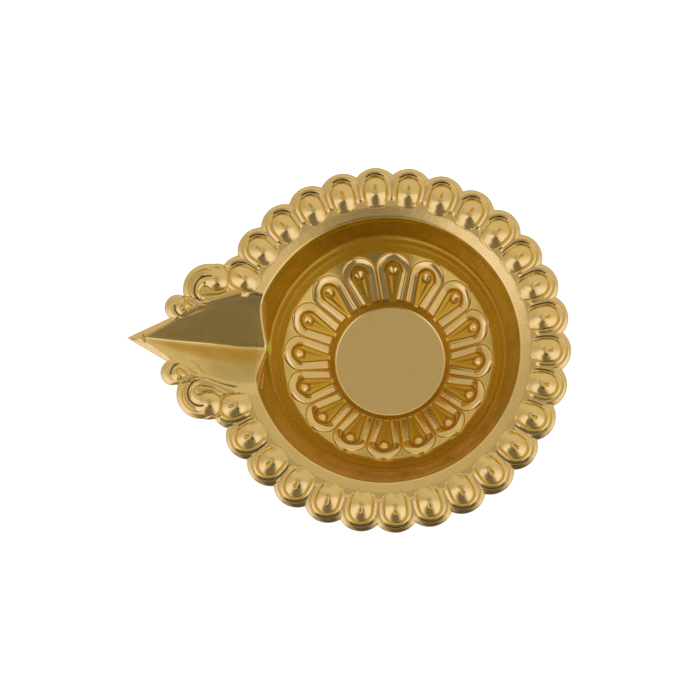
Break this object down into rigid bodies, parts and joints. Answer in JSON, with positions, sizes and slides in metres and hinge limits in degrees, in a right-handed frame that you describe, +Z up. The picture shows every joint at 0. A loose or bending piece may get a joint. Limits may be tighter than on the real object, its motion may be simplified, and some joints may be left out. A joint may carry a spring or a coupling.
{
  "type": "diya oil lamp",
  "caption": "Small pressed brass oil lamp: a round bowl on a flat foot disc, petals inside, a flat rim of raised lobes, and a pointed V spout between scrolls.",
  "frame": {"origin": "centre of the flat foot disc's underside, on the bowl's axis", "axes": "+Z up along the bowl's axis, the spout points to -X, +Y to the left of someone looking along +X"},
  "size_m": [0.1022, 0.0844, 0.0199],
  "materials": {
    "polished_brass": "polished, lightly lacquered pressed brass sheet with fine rubbing marks and warmer brown in the grooves"
  },
  "bodies": {
    "root": {"pressed_brass_lamp": "polished_brass"}
  },
  "joints": []
}
